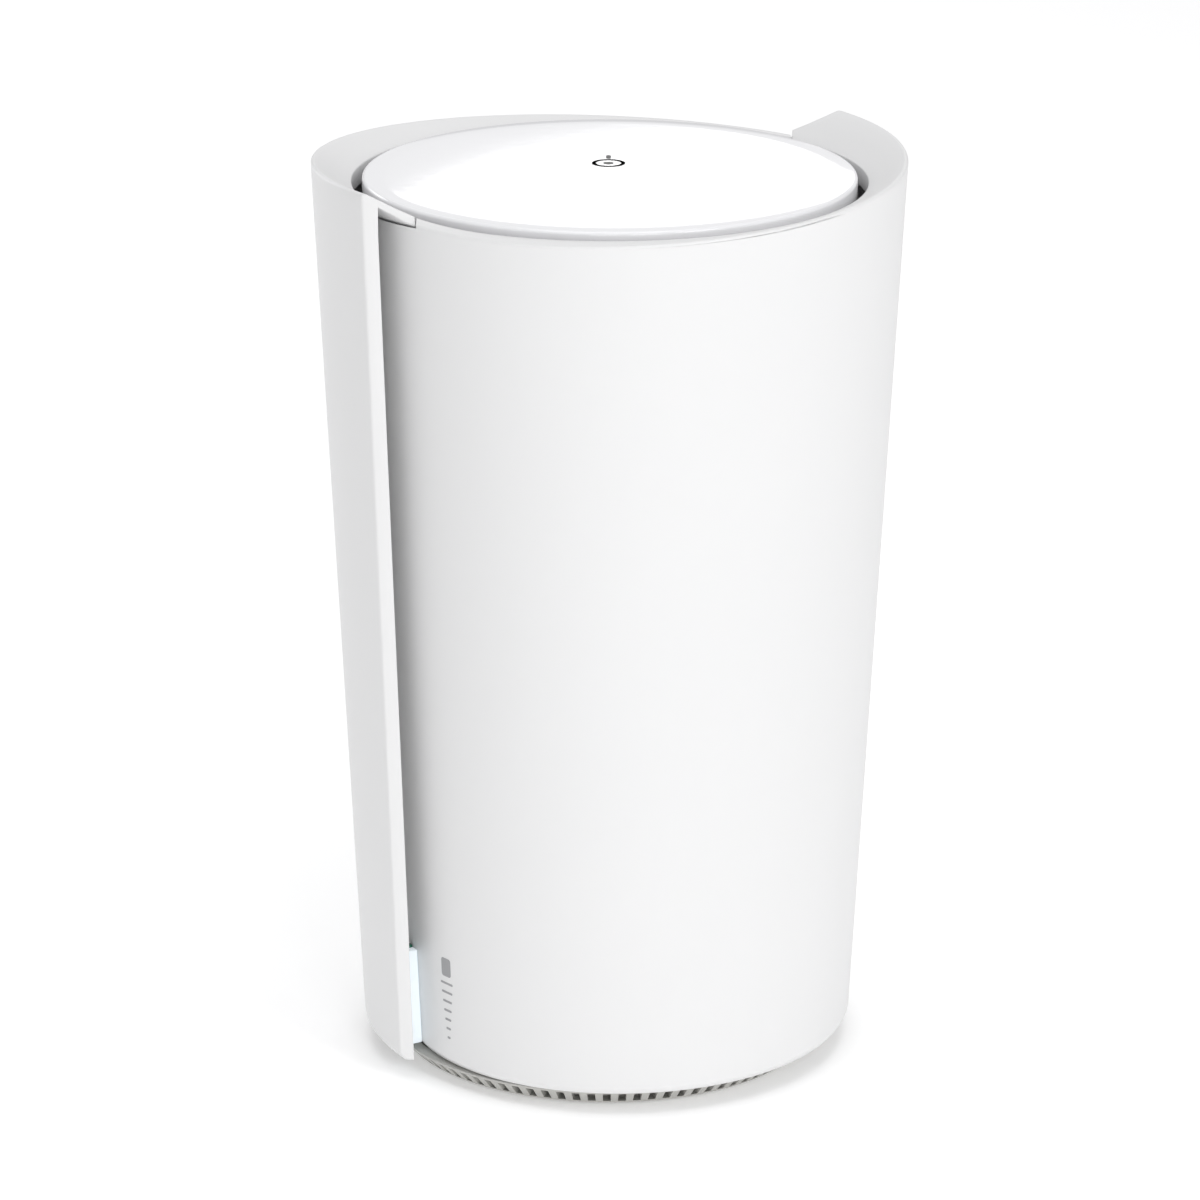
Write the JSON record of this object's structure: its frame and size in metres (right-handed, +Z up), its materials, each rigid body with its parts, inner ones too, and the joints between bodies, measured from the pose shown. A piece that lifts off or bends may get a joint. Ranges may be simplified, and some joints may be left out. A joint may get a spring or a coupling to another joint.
{
  "type": "mesh wifi node",
  "caption": "Tall tapered mesh wifi node: two overlapping curved wing shells round a core with radio boards, gloss top disc, slotted base and a rear port bay.",
  "frame": {"origin": "on the floor at the middle of the foot ring", "axes": "+Z up along the housing's axis, +Y towards the rear port bay, +X to the right seen from the front"},
  "size_m": [0.1248, 0.12, 0.1969],
  "materials": {
    "shell_white": "satin, very fine texture",
    "cover_gloss_white": "high gloss",
    "frame_black": "matte",
    "base_grey": "matte",
    "screw_steel": "zinc plated",
    "foot_rubber": "matte",
    "plate_silver": "blank label film",
    "light_guide": "frosted, lit",
    "circuit_board": "solder mask",
    "led_white": "lens",
    "lead_black": "smooth jacket",
    "shield_steel": "tinned",
    "chip_black": "moulded",
    "heatsink_aluminium": "extruded",
    "pad_grey": "soft pad",
    "bay_white": "satin",
    "jack_black": "moulded",
    "contact_gold": "gold flash",
    "pin_steel": "nickel plated",
    "reader_steel": "stamped",
    "plunger_ivory": "moulded",
    "connector_brass": "gold plated",
    "antenna_board": "printed circuit"
  },
  "bodies": {
    "housing": {"front_wing_shell": "shell_white", "rear_wing_shell": "shell_white", "top_cover": "cover_gloss_white", "top_frame": "frame_black", "core_frame": "frame_black", "base_grille": "base_grey", "base_deck": "base_grey", "base_screws": "screw_steel", "heatsink_screws": "screw_steel", "modem_screw": "screw_steel", "modem_standoff": "screw_steel", "rubber_foot": "foot_rubber", "rating_plate": "plate_silver", "light_pipe": "light_guide", "led_board": "circuit_board", "main_board": "circuit_board", "modem_module": "circuit_board", "status_leds": "led_white", "led_cable": "lead_black", "wifi_antenna_cables": "lead_black", "cell_antenna_cables": "lead_black", "antenna_port_cables": "lead_black", "processor_shield": "shield_steel", "radio_shield": "shield_steel", "modem_shield": "shield_steel", "coax_plugs": "shield_steel", "processor_chip": "chip_black", "board_chips": "chip_black", "lan_transformers": "chip_black", "modem_socket": "chip_black", "main_heatsink": "heatsink_aluminium", "modem_heatsink": "heatsink_aluminium", "thermal_pads": "pad_grey", "port_panel": "bay_white", "lan_jack_1": "jack_black", "lan_jack_2": "jack_black", "power_jack": "jack_black", "wps_switch": "jack_black", "reset_switch": "jack_black", "lan_contacts_1": "contact_gold", "lan_contacts_2": "contact_gold", "power_pin": "pin_steel", "flap_pin": "pin_steel", "sim_reader": "reader_steel", "antenna_connector_1": "connector_brass", "antenna_connector_2": "connector_brass", "wifi_antenna_1": "antenna_board", "wifi_antenna_2": "antenna_board", "wifi_antenna_3": "antenna_board", "wifi_antenna_4": "antenna_board", "cell_antenna_1": "antenna_board", "cell_antenna_2": "antenna_board", "cell_antenna_3": "antenna_board", "cell_antenna_4": "antenna_board"},
    "wps_press": {"wps_button": "bay_white", "wps_plunger": "plunger_ivory"},
    "reset_press": {"reset_button": "jack_black", "reset_plunger": "plunger_ivory"},
    "sim_carrier": {"sim_tray": "bay_white"},
    "antenna_flap": {"antenna_port_flap": "bay_white"}
  },
  "joints": [
    {"name": "wps_button_travel", "type": "slide", "parent": "housing", "child": "wps_press", "axis": [0, -1, 0], "range_m": [0, 0.0008], "stiffness_N_per_m": 400, "springref_m": -0.0005},
    {"name": "reset_button_travel", "type": "slide", "parent": "housing", "child": "reset_press", "axis": [0, 0, 1], "range_m": [0, 0.0008], "stiffness_N_per_m": 400, "springref_m": -0.0005},
    {"name": "sim_tray_slide", "type": "slide", "parent": "housing", "child": "sim_carrier", "axis": [0, 1, 0], "range_m": [0, 0.015]},
    {"name": "antenna_flap_hinge", "type": "hinge", "parent": "housing", "child": "antenna_flap", "pos_m": [0, 0.0473, 0.1119], "axis": [1, 0, 0], "range_deg": [0, 90]}
  ]
}
